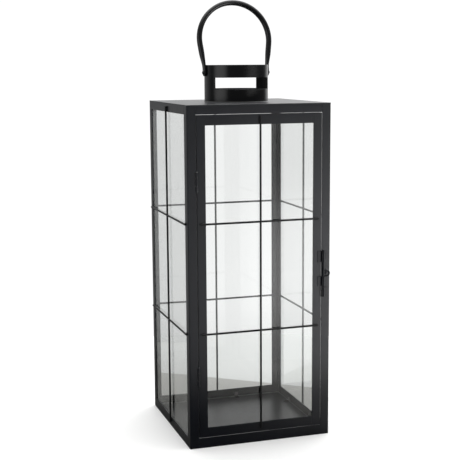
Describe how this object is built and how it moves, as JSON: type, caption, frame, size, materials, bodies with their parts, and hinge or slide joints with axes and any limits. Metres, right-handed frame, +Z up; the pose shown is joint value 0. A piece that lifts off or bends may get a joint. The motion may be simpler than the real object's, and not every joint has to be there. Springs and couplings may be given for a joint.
{
  "type": "candle lantern",
  "caption": "Square black metal candle lantern with glazed sides, wire glazing bars, hinged latching door, vented chimney collar and a folding bail handle.",
  "frame": {"origin": "centre of the lantern's underside, on the surface it stands on", "axes": "+Z up; -Y towards the front, where the door is; +X to the right as seen from the front, where the latch is"},
  "size_m": [0.226, 0.2299, 0.6577],
  "materials": {
    "frame_metal": "matt black powder coat",
    "door_metal": "matt black powder coat",
    "plate_metal": "matt black powder coat",
    "wire_metal": "satin black powder coat",
    "clip_metal": "satin black powder coat",
    "hardware_metal": "satin black powder coat",
    "collar_metal": "satin black powder coat",
    "bail_metal": "satin black powder coat",
    "glass": "clear float glass"
  },
  "bodies": {
    "frame": {"floor_plate": "plate_metal", "top_plate": "plate_metal", "post_front_left": "frame_metal", "post_front_right": "frame_metal", "post_back_left": "frame_metal", "post_back_right": "frame_metal", "rail_top_front": "frame_metal", "rail_top_back": "frame_metal", "rail_top_left": "frame_metal", "rail_top_right": "frame_metal", "rail_bottom_front": "frame_metal", "rail_bottom_back": "frame_metal", "rail_bottom_left": "frame_metal", "rail_bottom_right": "frame_metal", "chimney_collar": "collar_metal", "bail_rivet_left": "bail_metal", "bail_rivet_right": "bail_metal", "glass_left": "glass", "glass_right": "glass", "glass_back": "glass", "glass_clips_left": "clip_metal", "glass_clips_right": "clip_metal", "glass_clips_back": "clip_metal", "wire_grid_left": "wire_metal", "wire_grid_right": "wire_metal", "wire_grid_back": "wire_metal", "hinge_lower_frame_leaf": "hardware_metal", "hinge_upper_frame_leaf": "hardware_metal", "hinge_lower_pin": "hardware_metal", "hinge_upper_pin": "hardware_metal", "latch_keeper": "hardware_metal"},
    "door": {"door_stile_left": "door_metal", "door_stile_right": "door_metal", "door_rail_top": "door_metal", "door_rail_bottom": "door_metal", "door_glass": "glass", "door_glass_clips": "clip_metal", "door_wire_grid": "wire_metal", "hinge_lower_door_leaf": "hardware_metal", "hinge_upper_door_leaf": "hardware_metal", "latch_knuckle_upper": "hardware_metal", "latch_knuckle_middle": "hardware_metal"},
    "latch_pin": {"latch_pin": "hardware_metal", "latch_handle": "hardware_metal"},
    "bail": {"bail": "bail_metal"}
  },
  "joints": [
    {"name": "door_swing", "type": "hinge", "parent": "frame", "child": "door", "pos_m": [-0.096, -0.11, 0.25], "axis": [0, 0, -1], "range_deg": [0, 140]},
    {"name": "latch_slide", "type": "slide", "parent": "door", "child": "latch_pin", "axis": [0, 0, 1], "range_m": [0, 0.01]},
    {"name": "bail_swing", "type": "hinge", "parent": "frame", "child": "bail", "pos_m": [0, 0, 0.549], "axis": [1, 0, 0], "range_deg": [-102.6, 119.8]}
  ]
}
